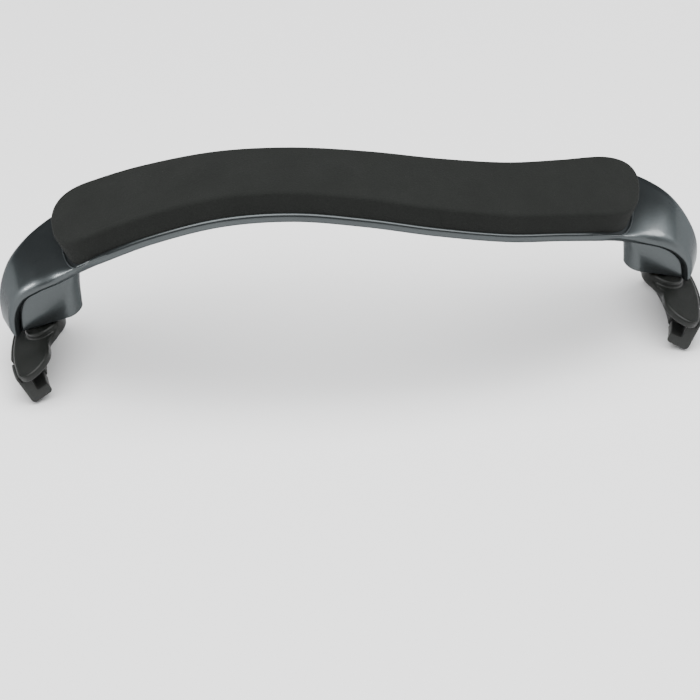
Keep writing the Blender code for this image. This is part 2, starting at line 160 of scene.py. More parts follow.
PLATE = 0.0030
PLATE_EASE = 0.0007
HUB_HEIGHT = 0.0052
HUB_RADIUS = 0.0076
HUB_EASE = 0.0011
HUB_STEP = 0.0012  # below this height the hub is narrower
HUB_BASE_RADIUS = 0.0070
HUB_BASE = 0.0003
RIM_RADIUS = 0.0600
RIM_REACH = 0.0132
RIM_END = math.radians(25.2)
PRONG = 0.0013
PRONG_DEPTH = 0.0078
RUBBER_SKIN = 0.0011
CLAW_TOP = 0.0022
CLAW_DEPTH = 0.0106
CLAW_LIP = 0.0040
CLAW_REACH = 0.0062
CLAW_EASE = 0.00045
CLAW_END_WALL = math.radians(1.2)
CLAW_SPANS = {
    "front": (math.radians(14.6), math.radians(24.6)),
    "centre": (math.radians(-12.0), math.radians(12.0)),
    "rear": (math.radians(-24.6), math.radians(-14.6)),
}
GROOVES = 4  # grip grooves on each side of the middle one
GROOVE_STEP = math.radians(2.1)
GROOVE_HALF_WIDTH = math.radians(0.35)
GROOVE_DEPTH = 0.00028
GROOVE_INSETS = (0.0022, 0.0018)  # from the claw's inner and outer faces
SIGNS = {"left": -1, "right": 1}

# the feet's hinges say where the design's origin lies in the frame, and how the screws lean
HUBS = {side: Vector(joints[f"{side}_foot_turn"]["pos_m"]) for side in SIGNS}
ORIGIN = (HUBS["left"] + HUBS["right"]) / 2
FOOT_X = (HUBS["right"] - HUBS["left"]).x / 2
SCREW_DOWN = Vector(joints["right_foot_turn"]["axis"])
FOOT_TILT = math.atan2(-SCREW_DOWN.x, -SCREW_DOWN.z)


# ---- helpers ------------------------------------------------------------------------------------------
def dress(mesh, material):
    mesh.materials.clear()
    mesh.materials.append(material)


def link(name, mesh, material):
    made = bpy.data.objects.new(name, mesh)
    dress(mesh, material)
    bpy.context.scene.collection.objects.link(made)
    return made


def finish_piece(piece, body, slot, *nodes):
    """The piece rides on a body and stands in for its CAD nodes, which are hidden; slot is not used."""
    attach(piece, body)
    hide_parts(*nodes)


def smooth(mesh, angle=40):
    mesh.shade_smooth()
    mesh.set_sharp_from_angle(angle=math.radians(angle))


def to_mesh(name, bm, angle=40):
    bmesh.ops.recalc_face_normals(bm, faces=bm.faces)
    mesh = bpy.data.meshes.new(name)
    bm.to_mesh(mesh)
    bm.free()
    smooth(mesh, angle)
    return mesh


def loft(bm, rings, wrap=False):
    """Faces through rings of equal length; the ends are closed, or joined where it wraps."""
    made = [[bm.verts.new(point) for point in ring] for ring in rings]
    count = len(made[0])
    pairs = list(zip(made, made[1:]))
    if wrap:
        pairs.append((made[-1], made[0]))
    for low, high in pairs:
        for i in range(count):
            j = (i + 1) % count
            bm.faces.new((low[i], low[j], high[j], high[i]))
    if not wrap:
        bm.faces.new(list(reversed(made[0])))
        bm.faces.new(made[-1])


def slab(bm, top, bottom, walls=()):
    """A closed slab between two grids of points, with loops of points down its sides."""
    rows, columns = top.shape[:2]
    upper = [[bm.verts.new(top[i, j]) for j in range(columns)] for i in range(rows)]
    lower = [[bm.verts.new(bottom[i, j]) for j in range(columns)] for i in range(rows)]
    for i in range(rows - 1):
        for j in range(columns - 1):
            bm.faces.new((upper[i][j], upper[i + 1][j], upper[i + 1][j + 1], upper[i][j + 1]))
            bm.faces.new((lower[i][j], lower[i][j + 1], lower[i + 1][j + 1], lower[i + 1][j]))
    border = border_of(rows, columns)
    loops = [[upper[i][j] for i, j in border]]
    loops += [[bm.verts.new(point) for point in wall] for wall in walls]
    loops.append([lower[i][j] for i, j in border])
    if walls:
        for high, low in zip(loops, loops[1:]):
            for k in range(len(border)):
                n = (k + 1) % len(border)
                bm.faces.new((high[k], high[n], low[n], low[k]))
    else:
        bmesh.ops.remove_doubles(bm, verts=bm.verts, dist=1e-7)


def border_of(rows, columns):
    """The grid places round a slab's border, in order."""
    border = [(0, j) for j in range(columns)]
    border += [(i, columns - 1) for i in range(1, rows)]
    border += [(rows - 1, j) for j in range(columns - 2, -1, -1)]
    border += [(i, 0) for i in range(rows - 2, 0, -1)]
    return border


def join(target, mesh):
    """Adds a mesh's shapes to the target's own."""
    both = bmesh.new()
    both.from_mesh(target.data)
    both.from_mesh(mesh)
    both.to_mesh(target.data)
    both.free()


def cut(target, cutter_mesh):
    """The target's mesh less the cutter's, worked out at once."""
    cutter = bpy.data.objects.new("cutter", cutter_mesh)
    cutter.matrix_world = target.matrix_world
    bpy.context.scene.collection.objects.link(cutter)
    step = target.modifiers.new("cut", "BOOLEAN")
    step.operation = "DIFFERENCE"
    step.solver = "EXACT"
    step.object = cutter
    apply_modifiers(target)
    bpy.data.objects.remove(cutter, do_unlink=True)


def apply_modifiers(target, angle=40):
    bpy.context.view_layer.update()
    graph = bpy.context.evaluated_depsgraph_get()
    mesh = bpy.data.meshes.new_from_object(target.evaluated_get(graph))
    target.modifiers.clear()
    target.data = mesh
    smooth(mesh, angle)


def eased(width, steps):
    """Places round an eased edge: how far each is in from the first face, and from the second."""
    turns = [math.pi / 2 * k / steps for k in range(steps + 1)]
    return [(width * (1 - math.sin(turn)), width * (1 - math.cos(turn))) for turn in turns]


def turned(bm, profile, sides=48):
    """A closed outline of (radius, z) points turned about Z; where it touches the axis, it closes there."""
    rings = []
    for k in range(sides):
        angle = 2 * math.pi * k / sides
        rings.append([(r * math.cos(angle), r * math.sin(angle), z) for r, z in profile])
    made = [[bm.verts.new(point) for point in ring] for ring in rings]
    count = len(profile)
    for near, far in zip(made, made[1:] + made[:1]):
        for i in range(count):
            j = (i + 1) % count
            on_axis = [profile[i][0] < 1e-9, profile[j][0] < 1e-9]
            if all(on_axis):
                continue
            if on_axis[0]:
                bm.faces.new((near[i], near[j], far[j]))
            elif on_axis[1]:
                bm.faces.new((near[i], near[j], far[i]))
            else:
                bm.faces.new((near[i], near[j], far[j], far[i]))
    bmesh.ops.remove_doubles(bm, verts=bm.verts, dist=1e-7)


def rounded(corners, steps=4):
    """A closed 2D outline with its corners rounded: corners are (x, y, radius)."""
    points = []
    count = len(corners)
    for i in range(count):
        here = Vector(corners[i][:2])
        radius = corners[i][2]
        to_last = (Vector(corners[i - 1][:2]) - here).normalized()
        to_next = (Vector(corners[(i + 1) % count][:2]) - here).normalized()
        half = to_last.angle(to_next) / 2
        if radius == 0 or half > math.radians(88):
            points.append(here)
            continue
        reach = radius / math.tan(half)
        centre = here + (to_last + to_next).normalized() * radius / math.sin(half)
        first = here + to_last * reach - centre
        last = here + to_next * reach - centre
        sweep = first.angle_signed(last)
        for k in range(steps + 1):
            turn = -sweep * k / steps
            c, s = math.cos(turn), math.sin(turn)
            points.append(centre + Vector((first.x * c - first.y * s, first.x * s + first.y * c)))
    return points


def inset(outline, distance):
    """The outline moved inwards, for small distances; it runs anticlockwise or clockwise."""
    area = sum(a.x * b.y - b.x * a.y for a, b in zip(outline, outline[1:] + outline[:1]))
    sign = 1 if area > 0 else -1
    moved = []
    for i, here in enumerate(outline):
        before = (here - outline[i - 1]).normalized()
        after = (outline[(i + 1) % len(outline)] - here).normalized()
        tangent = (before + after).normalized()
        moved.append(here + Vector((-tangent.y, tangent.x)) * distance * sign)
    return moved


# ---- the beam's driving curves ------------------------------------------------------------------------
def hermite(knots, rows, wanted):
    """The rows at the wanted places among the knots, on a smooth curve through all the rows."""
    knots = np.asarray(knots, float)
    rows = np.asarray(rows, float)
    wanted = np.asarray(wanted, float)
    count = len(knots)
    i = np.clip(np.searchsorted(knots, wanted, side="right") - 1, 0, count - 2)
    low = np.maximum(np.arange(count) - 1, 0)
    high = np.minimum(np.arange(count) + 1, count - 1)
    slopes = (rows[high] - rows[low]) / (knots[high] - knots[low])[:, None]
    span = (knots[i + 1] - knots[i])[..., None]
    t = ((wanted - knots[i]) / (knots[i + 1] - knots[i]))[..., None]
    return (
        (2 * t**3 - 3 * t**2 + 1) * rows[i]
        + (t**3 - 2 * t**2 + t) * span * slopes[i]
        + (3 * t**2 - 2 * t**3) * rows[i + 1]
        + (t**3 - t**2) * span * slopes[i + 1]
    )


KNOTS = np.concatenate(([0], np.cumsum(np.hypot(*np.diff(BEAM_STATIONS[:, :2], axis=0).T))))
LENGTH = KNOTS[-1]


def unit(v):
    return v / np.linalg.norm(v, axis=-1, keepdims=True)


def section(s):
    """At distances s along the beam: centre, direction from front to back, half width, way up."""
    reach = 0.004 * LENGTH
    x, z, front, back, tilt, _ = np.moveaxis(hermite(KNOTS, BEAM_STATIONS, s), -1, 0)
    before = hermite(KNOTS, BEAM_STATIONS, np.maximum(s - reach, 0))
    after = hermite(KNOTS, BEAM_STATIONS, np.minimum(s + reach, LENGTH))
    nil = np.zeros_like(x)
    along = unit(np.stack((after[..., 0] - before[..., 0], nil, after[..., 1] - before[..., 1]), -1))
    tilt = np.radians(tilt)
    level = np.stack((-along[..., 2], nil, along[..., 0]), -1)
    across = level * np.sin(tilt)[..., None] + np.stack((nil, np.cos(tilt), nil), -1)
    up = unit(np.cross(along, across))
    half = (back - front) / 2 / np.cos(tilt)
    return np.stack((x, (front + back) / 2, z), -1), across, half, up


def on_beam(s, v, margin=0.0):
    """Points of the middle surface, at distances s along and v from -1, front, to 1, back."""
    centre, across, half, _ = section(s)
    curl = hermite(KNOTS, BEAM_STATIONS[:, 5:], s)[..., 0]
    curl = curl * (np.maximum(CURL_FROM - v, 0) / (CURL_FROM + 1)) ** 2
    return centre + across * ((half + margin) * v)[..., None] + CURL_WAY * curl[..., None]


def seat_of(side):
    """A foot's place in the design: local X points outwards and local Z up along the screw."""
    about = Matrix.Identity(4) if side == "right" else Matrix.Rotation(math.pi, 4, "Z")
    return Matrix.Translation((SIGNS[side] * FOOT_X, 0, 0)) @ about @ Matrix.Rotation(FOOT_TILT, 4, "Y")


def trimmed_end(side, v):
    """How far along the beam its end is cut, square to the screw, for each v."""
    furthest = 0.03
    seat = seat_of(side)
    hub = np.array(seat.translation)
    up = np.array((seat.to_3x3() @ Vector((0, 0, 1))))
    if side == "left":
        low, high = np.zeros_like(v), np.full_like(v, furthest)
    else:
        low, high = np.full_like(v, LENGTH), np.full_like(v, LENGTH - furthest)
    for _ in range(40):
        middle = (low + high) / 2
        under = (on_beam(middle, v) - hub) @ up < BOSS_FACE
        low = np.where(under, middle, low)
        high = np.where(under, high, middle)
    return (low + high) / 2


def edge_distances(width, steps=7):
    """Distances from an edge, crowded towards it, for a rounded edge of this width."""
    return width * (1 - np.cos(np.linspace(0, math.pi / 2, steps)))


def fullness(distance, width=EDGE):
    """The share of its full thickness that the beam has, at a distance from its edge."""
    out = np.clip(1 - distance / width, 0, 1)
    return (1 - out**EDGE_FULLNESS) ** (1 / EDGE_FULLNESS)


def smoothstep(value):
    value = np.clip(value, 0, 1)
    return value * value * (3 - 2 * value)


def panel_share(x, v):
    """How much of the underside's panel there is, from 0 outside it to 1 at its full depth."""
    left_end = PANEL_LEFT[0] + PANEL_LEFT[1] * v
    right_end = PANEL_RIGHT[0] + PANEL_RIGHT[1] * v
    inside = smoothstep((x - left_end) / PANEL_RAMP) * smoothstep((right_end - x) / PANEL_RAMP)
    inside = inside * smoothstep((v - PANEL_FRONT) / PANEL_SIDE_RAMP)
    return inside * smoothstep((PANEL_BACK - v) / PANEL_SIDE_RAMP)


def beam_places():
    """A grid over the beam, crowded at its edges: s, v, and how far each place is from an end and a side."""
    near = edge_distances(EDGE)
    share = np.linspace(0, 1, BEAM_ROWS)[1:-1]
    middle_v = np.zeros(1)
    start, end = trimmed_end("left", middle_v)[0], trimmed_end("right", middle_v)[0]
    fixed = np.concatenate((near, np.full(len(share), np.nan), near[::-1]))
    rows = len(fixed)
    inner = np.linspace(-1, 1, BEAM_COLUMNS)[1:-1]
    # how far the rows lie from the ends, first for the middle of the beam, to know its width there
    whole = end - start
    along = fixed.copy()
    along[np.isnan(fixed)] = EDGE + share * (whole - 2 * EDGE)
    along[-len(near):] = whole - near[::-1]
    half = section(start + along)[2]
    v = np.empty((rows, 2 * len(near) + len(inner)))
    for k, distance in enumerate(near):
        v[:, k] = -1 + distance / half
        v[:, -1 - k] = 1 - distance / half
    v[:, len(near):-len(near)] = inner[None] * (1 - EDGE / half)[:, None]
    first = trimmed_end("left", v.ravel()).reshape(v.shape)
    last = trimmed_end("right", v.ravel()).reshape(v.shape)
    whole = last - first
    distance = np.empty_like(v)
    distance[:len(near)] = near[:, None]
    distance[-len(near):] = whole[-len(near):] - near[::-1, None]
    distance[len(near):-len(near)] = EDGE + share[:, None] * (whole[len(near):-len(near)] - 2 * EDGE)
    s = first + distance
    return s, v, np.minimum(distance, whole - distance), (1 - np.abs(v)) * section(s)[2]


def beam_grids():
    """The beam's upper and lower surfaces, as two grids that meet at their borders."""
    s, v, from_end, from_side = beam_places()
    tiny = 1e-9
    nearest = ((from_end + tiny) ** -4 + (from_side + tiny) ** -4) ** -0.25
    on_border = (from_end < 1e-8) | (from_side < 1e-8)
    points = on_beam(s, v)
    on_hood = smoothstep((np.abs(points[..., 0]) - HOOD_FROM) / HOOD_BLEND)
    width = EDGE + (HOOD_EDGE - EDGE) * on_hood
    thick = THICKNESS / 2 * np.where(on_border, 0, fullness(nearest))[..., None]
    thick_above = THICKNESS / 2 * np.where(on_border, 0, fullness(nearest, width))[..., None]
    ds, dv = 0.0005, 0.02
    step_s = on_beam(s + ds, v) - on_beam(s - ds, v)
    step_v = on_beam(s, v + dv) - on_beam(s, v - dv)
    normal = unit(np.cross(step_s, step_v))
    thick_below = thick - PANEL_DEPTH * panel_share(points[..., 0], v)[..., None]
    return points + normal * thick_above, points - normal * thick_below


def ceiling_tree(rows=260, columns=17):
    """The middle surface, a little wider than the beam, to find how far up a boss reaches."""
    v = np.linspace(-1, 1, columns)
    s = np.broadcast_to(np.linspace(0, LENGTH, rows)[:, None], (rows, columns))
    points = on_beam(s, np.broadcast_to(v, s.shape), CEILING_MARGIN)
    bm = bmesh.new()
    grid = [[bm.verts.new(p) for p in row] for row in points]
    for near, far in zip(grid, grid[1:]):
        for j in range(columns - 1):
            bm.faces.new((near[j], far[j], far[j + 1], near[j + 1]))
    bm.normal_update()
    tree = BVHTree.FromBMesh(bm)
    bm.free()
    return tree


def stadium(start, end, steps=14, along=12):
    """Centres and unit directions round a bar with round ends, anticlockwise."""
    heading = math.atan2(end.y - start.y, end.x - start.x)
    places = []
    for near, far, first in ((start, end, heading + math.pi / 2), (end, start, heading - math.pi / 2)):
        for i in range(steps + 1):
            angle = first + math.pi * i / steps
            places.append((near, Vector((math.cos(angle), math.sin(angle)))))
        places += [(near.lerp(far, i / along), places[-1][1]) for i in range(1, along)]
    return places


def row_of_holes(side):
    """The direction of a foot's row of holes, from the outer one inwards, in its own plan."""
    return Vector((-math.cos(BOSS_ANGLE), -SIGNS[side] * math.sin(BOSS_ANGLE)))


def boss(bm, side, ceiling):
    """A bar-shaped column that hangs from the beam, with a fillet at the inner end of its top."""
    sign = SIGNS[side]
    seat = seat_of(side)
    way = row_of_holes(side)
    places = stadium(-BOSS_OUTER_END * way, BOSS_INNER_END * way)
    rings = []
    for back, rise in eased(BOSS_EASE, 3):
        rings.append([seat @ Vector((*(c + (BOSS_RADIUS - back) * n), BOSS_FACE + rise)) for c, n in places])
    up = Vector((0, 0, 1))
    border = [c + BOSS_RADIUS * n for c, n in places]
    reach = BOSS_OUTER_END + BOSS_INNER_END
    along_beam, forward, lean = BOSS_FILLET[side]
    spread, leaning = [], []
    for c, n in places:
        inward = float(smoothstep((c.dot(way) + BOSS_OUTER_END) / reach))
        ahead = max(-sign * n.y, 0)
        spread.append(Vector((-along_beam * inward, -sign * forward * inward * ahead)))
        leaning.append(Vector((0, -sign * lean * inward * ahead)))

    def foot_of(place):
        return seat @ Vector((*place, BOSS_FACE + BOSS_EASE))

    def height_over(foot):
        """How far up the beam's middle surface is, and how much of its thickness lies below that."""
        _, normal, _, height = ceiling.ray_cast(foot, up)
        if normal is None:
            return 0.0, 0.0
        return height, THICKNESS / 2 / max(abs(normal.z), LEAST_UPRIGHT)

    for k in range(9):
        turn = math.pi / 2 * k / 8
        ring = []
        part = 1 - FILLET_SHARE * (1 - math.sin(turn))
        for place, out, tip in zip(border, spread, leaning):
            foot = foot_of(place + out * (1 - math.cos(turn)) + tip * part)
            height, clear = height_over(foot)
            ring.append(foot + up * max(height - clear, 0) * part)
        rings.append(ring)
    # the roof sinks into the beam, and follows its curve
    centre = (BOSS_INNER_END - BOSS_OUTER_END) / 2 * way
    for share in ROOF_RINGS:
        ring = []
        for place, out, tip in zip(border, spread, leaning):
            foot = foot_of(centre + (place + out + tip - centre) * share)
            ring.append(foot + up * (height_over(foot)[0] - ROOF_SINK))
        rings.append(ring)
    loft(bm, rings)


def hole_profile():
    mouth = BOSS_FACE + INSERT_LENGTH + 2 * GAP
    wide = INSERT_RADIUS + GAP
    narrow = POST_RADIUS + GAP
    top = BOSS_FACE + HOLE_DEPTH
    chamfer = 0.0004
    return [
        (0, top), (narrow, top), (narrow, mouth), (wide, mouth), (wide, BOSS_FACE + chamfer),
        (wide + 3 * chamfer, BOSS_FACE - 2 * chamfer), (0, BOSS_FACE - 2 * chamfer),
    ]


def hole_matrix(side, index):
    return seat_of(side) @ Matrix.Translation((*(row_of_holes(side) * HOLE_SPACING * index), 0))


# ---- materials ----------------------------------------------------------------------------------------
class Shader:
    """A material's node tree, with short ways to add to it."""

    def __init__(self, name, **settings):
        self.material = bpy.data.materials.new(name)
        self.material.use_nodes = True
        self.tree = self.material.node_tree
        self.bsdf = self.tree.nodes["Principled BSDF"]
        for key, value in settings.items():
            self.bsdf.inputs[key.replace("_", " ")].default_value = value
        self.place = self.node("ShaderNodeTexCoord").outputs["Object"]

    def node(self, kind, inputs=(), **settings):
        made = self.tree.nodes.new(kind)
        for key, value in settings.items():
            setattr(made, key, value)
        for key, value in dict(inputs).items():
            if isinstance(value, bpy.types.NodeSocket):
                self.tree.links.new(value, made.inputs[key])
            else:
                made.inputs[key].default_value = value
        return made

    def noise(self, scale, detail=3.0, rough=0.6, stretch=None):
        place = self.place
        if stretch:
            place = self.node("ShaderNodeMapping", {"Vector": place, "Scale": stretch}).outputs[0]
        inputs = {"Vector": place, "Scale": scale, "Detail": detail, "Roughness": rough}
        return self.node("ShaderNodeTexNoise", inputs).outputs["Fac"]

    def cells(self, scale, output="Distance"):
        return self.node("ShaderNodeTexVoronoi", {"Vector": self.place, "Scale": scale}).outputs[output]

    def ramp(self, value, stops):
        made = self.node("ShaderNodeValToRGB", {"Fac": value})
        elements = made.color_ramp.elements
        while len(elements) < len(stops):
            elements.new(0.5)
        for element, (at, colour) in zip(elements, stops):
            element.position = at
            element.color = (*colour, 1)
        return made.outputs["Color"]

    def span(self, value, low, high, start=0.0, end=1.0):
        inputs = {"Value": value, "From Min": start, "From Max": end, "To Min": low, "To Max": high}
        return self.node("ShaderNodeMapRange", inputs).outputs["Result"]

    def math(self, operation, a, b):
        return self.node("ShaderNodeMath", {0: a, 1: b}, operation=operation).outputs[0]

    def bump(self, height, strength, distance, before=None):
        inputs = {"Height": height, "Strength": strength, "Distance": distance}
        if before:
            inputs["Normal"] = before
        return self.node("ShaderNodeBump", inputs).outputs["Normal"]

    def set(self, key, value):
        self.tree.links.new(value, self.bsdf.inputs[key])


def paint():
    """Dark metallic paint under a clear coat: fine flakes, slight orange peel, faint scuffs."""
    s = Shader("metallic_paint", Metallic=0.85, Coat_Weight=0.22, Coat_Roughness=0.10, Coat_IOR=1.5)
    s.bsdf.inputs["Specular Tint"].default_value = (0.24, 0.27, 0.28, 1)
    flakes = s.cells(9000.0, "Color")
    grain = s.node("ShaderNodeSeparateColor", {"Color": flakes}).outputs[0]
    drift = s.noise(18.0, 2.0)
    tone = s.math("ADD", s.math("MULTIPLY", grain, 0.35), s.math("MULTIPLY", drift, 0.65))
    stops = [(0.15, (0.043, 0.048, 0.050)), (0.5, (0.058, 0.065, 0.067)), (0.9, (0.078, 0.087, 0.090))]
    s.set("Base Color", s.ramp(tone, stops))
    scuffs = s.noise(260.0, 4.0, 0.7, (1.0, 6.0, 1.0))
    s.set("Roughness", s.span(scuffs, 0.26, 0.34, 0.2, 0.8))
    s.set("Normal", s.bump(grain, 0.08, 0.00002))
    s.set("Coat Normal", s.bump(s.noise(420.0, 2.0), 0.04, 0.00008))
    return s.material


def foam():
    """Charcoal closed-cell foam, matt, with small open cells on its cut faces."""
    s = Shader("foam", Roughness=0.96, Sheen_Weight=0.02, Sheen_Roughness=0.55)
    s.bsdf.inputs["Specular IOR Level"].default_value = 0.08
    cells = s.cells(1500.0)
    cloud = s.noise(60.0, 4.0, 0.65)
    speck = s.noise(2600.0, 2.0, 0.7)
    mix = s.math("ADD", s.math("MULTIPLY", speck, 0.6), s.math("MULTIPLY", cloud, 0.4))
    stops = [(0.25, (0.010, 0.011, 0.010)), (0.5, (0.013, 0.014, 0.013)), (0.8, (0.018, 0.019, 0.018))]
    s.set("Base Color", s.ramp(mix, stops))
    first = s.bump(cells, 0.55, 0.00022)
    second = s.bump(speck, 0.45, 0.00012, first)
    s.set("Normal", s.bump(cloud, 0.25, 0.0006, second))
    return s.material


def hard_plastic():
    """Black moulded plastic with a fine spark-eroded grain."""
    s = Shader("black_plastic")
    s.bsdf.inputs["Specular IOR Level"].default_value = 0.28
    grain = s.noise(3200.0, 3.0, 0.7)
    cloud = s.noise(120.0, 3.0)
    s.set("Base Color", s.ramp(cloud, [(0.3, (0.005, 0.006, 0.005)), (0.7, (0.009, 0.010, 0.009))]))
    s.set("Roughness", s.span(cloud, 0.38, 0.52, 0.3, 0.7))
    s.set("Normal", s.bump(grain, 0.5, 0.00010))
    return s.material


def rubber():
    """Black moulded rubber, satin, a little dusty."""
    s = Shader("claw_rubber", Sheen_Weight=0.08, Sheen_Roughness=0.5)
    s.bsdf.inputs["Specular IOR Level"].default_value = 0.32
    dust = s.noise(240.0, 5.0, 0.7)
    fine = s.noise(2200.0, 2.0)
    s.set("Base Color", s.ramp(dust, [(0.3, (0.009, 0.010, 0.009)), (0.75, (0.016, 0.017, 0.016))]))
    s.set("Roughness", s.span(dust, 0.48, 0.68, 0.3, 0.7))
    s.set("Normal", s.bump(fine, 0.35, 0.00008))
    return s.material


def metal(name, dark, light, low, high):
    """A turned metal, slightly tarnished, with rings left by the tool."""
    s = Shader(name, Metallic=1.0)
    tarnish = s.noise(700.0, 4.0, 0.7)
    s.set("Base Color", s.ramp(tarnish, [(0.3, dark), (0.75, light)]))
    s.set("Roughness", s.span(tarnish, low, high, 0.3, 0.7))
    s.set("Normal", s.bump(s.noise(900.0, 2.0, 0.5, (1.0, 1.0, 9.0)), 0.2, 0.00005))
    return s.material


def film():
    """A thin double-sided adhesive film."""
    s = Shader("adhesive_film", Roughness=0.6)
    s.set("Base Color", s.ramp(s.noise(300.0), [(0.3, (0.45, 0.42, 0.34)), (0.7, (0.62, 0.59, 0.50))]))
    return s.material


PAINT = paint()
FOAM = foam()
PLASTIC = hard_plastic()
RUBBER = rubber()
BRASS = metal("insert_brass", (0.22, 0.15, 0.07), (0.50, 0.37, 0.18), 0.30, 0.50)
STEEL = metal("post_steel", (0.36, 0.36, 0.37), (0.62, 0.62, 0.63), 0.22, 0.40)

# ---- beam ---------------------------------------------------------------------------------------------
def holes_of(side):
    """The cutter for a boss's holes."""
    bm = bmesh.new()
    for index in range(len(HOLES)):
        one = bmesh.new()
        turned(one, hole_profile())
        one.transform(hole_matrix(side, index))
        hole = bpy.data.meshes.new("hole")
        one.to_mesh(hole)
        one.free()
        bm.from_mesh(hole)
        bpy.data.meshes.remove(hole)
    return to_mesh("holes", bm)


def beam_with_bosses():
    bm = bmesh.new()
    slab(bm, *beam_grids())
    made = link("painted_beam", to_mesh("painted_beam", bm, 60), PAINT)
    ceiling = ceiling_tree()
    for side in SIGNS:
        bm = bmesh.new()
        boss(bm, side, ceiling)
        column = link("boss", to_mesh("boss", bm, 50), PAINT)
        cut(column, holes_of(side))
        join(made, column.data)
        bpy.data.objects.remove(column, do_unlink=True)
    return made


beam = beam_with_bosses()


# ---- pad ----------------------------------------------------------------------------------------------
def pad_edges(x):
    """The pad's front and back edges at x: the beam's own, run on past its corners."""
    inner = BEAM_STATIONS[np.abs(BEAM_STATIONS[:, 0]) < PAD_FOLLOWS][:, (0, 2, 3)]
    rows = np.vstack(([PAD_LEFT], inner, [PAD_RIGHT]))
    return hermite(rows[:, 0], rows, x)[:, 1:].T


def along_at(x):
    """How far along the beam each x lies, on its upper side."""
    s = np.linspace(0.15 * LENGTH, 0.85 * LENGTH, 2000)
    return np.interp(x, section(s)[0][:, 0], s)


def pad_outline(x, lean=(0.0, 0.0)):
    """The middle and half width of the pad's plan at each x, drawn in by a lean in front and behind."""
    front, back = pad_edges(x)
    from_end = np.minimum(x - PAD_LEFT[0], PAD_RIGHT[0] - x) - PAD_INSET
    out = np.clip(1 - from_end / PAD_ROUND, 0, 1)
    squash = np.maximum((1 - out**PAD_SQUARENESS) ** (1 / PAD_SQUARENESS), PAD_END_WIDTH)
    half = ((back - front) / 2 - PAD_INSET) * squash
    lean_front = np.minimum(lean[0], half / 3)
    lean_back = np.minimum(lean[1], half / 3)
    middle = (front + back) / 2 + (lean_front - lean_back) / 2
    return middle, half - (lean_front + lean_back) / 2


def over_beam(x, y, height):
    """Points over the beam's top, at plan places x and y and a height square to it."""
    centre, across, _, up = section(along_at(x))
    shape = np.broadcast_shapes(y.shape, np.shape(height))
    if y.ndim > 1:
        centre, across, up = centre[:, None], across[:, None], up[:, None]
    shift = (y - centre[..., 1]) / across[..., 1]
    rise = np.broadcast_to(height, shape) + THICKNESS / 2
    return centre + across * shift[..., None] + up * rise[..., None]


def curl_under(x, y):
    """How far the beam's curl takes its surface away from the plain slope, under plan places."""
    s = along_at(x)
    centre, across, half, _ = section(s)
    v = (y - centre[:, None, 1]) / across[:, None, 1] / half[:, None]
    s = np.broadcast_to(s[:, None], y.shape)
    curl = hermite(KNOTS, BEAM_STATIONS[:, 5:], s)[..., 0]
    return CURL_WAY * (curl * (np.maximum(CURL_FROM - v, 0) / (CURL_FROM + 1)) ** 2)[..., None]


def distance_to(border, points):
    """How far each point is from a closed border, in the plan."""
    start = border
    step = np.roll(border, -1, axis=0) - border
    length = np.maximum((step**2).sum(1), 1e-18)
    flat = points.reshape(-1, 2)
    best = np.full(len(flat), np.inf)
    for a, d, n in zip(start, step, length):
        t = np.clip(((flat - a) @ d) / n, 0, 1)
        best = np.minimum(best, ((flat - a - t[:, None] * d) ** 2).sum(1))
    return np.sqrt(best).reshape(points.shape[:2])


def pad_plan(x, v, lean=(0.0, 0.0)):
    """Plan places on a grid, and how far each is from the outline."""
    middle, half = pad_outline(x, lean)
    y = middle[:, None] + half[:, None] * v[None]
    plan = np.stack((np.broadcast_to(x[:, None], y.shape), y), -1)
    border = np.array([plan[i, j] for i, j in border_of(*y.shape)])
    return y, distance_to(border, plan)


def cushion():
    turns = np.linspace(0, math.pi, PAD_ROWS + 1)
    x = (PAD_LEFT[0] + PAD_INSET) + (PAD_RIGHT[0] - PAD_LEFT[0] - 2 * PAD_INSET) * (1 - np.cos(turns)) / 2
    v = np.sin(np.linspace(-math.pi / 2, math.pi / 2, PAD_COLUMNS + 1))
    top_y, from_edge = pad_plan(x, v, PAD_DRAFT)
    out = np.clip(1 - from_edge / PAD_EASE, 0, 1)
    crown = PAD_CROWN * smoothstep(from_edge / PAD_CROWN_WIDTH)
    top = over_beam(x, top_y, PAD_TOP - PAD_DROP - PAD_EASE * (1 - np.sqrt(1 - out**2)) + crown)
    # the foam covers the film, and comes down onto the beam round it
    low_y, from_edge = pad_plan(x, v)
    low_height = PAD_FLOAT + FILM_ROOM * smoothstep((from_edge - FILM_RIM) / FILM_RAMP)
    bottom = over_beam(x, low_y, low_height) + curl_under(x, low_y)
    border = border_of(*top_y.shape)
    high = np.array([top[i, j] for i, j in border])
    low = np.array([bottom[i, j] for i, j in border])
    walls = [high + (low - high) * share for share in (0.06, 0.2, 0.4, 0.6, 0.8, 0.94)]
    bm = bmesh.new()
    slab(bm, top, bottom, walls)
    return link("foam_cushion", to_mesh("foam_cushion", bm, 70), FOAM)


pad = cushion()


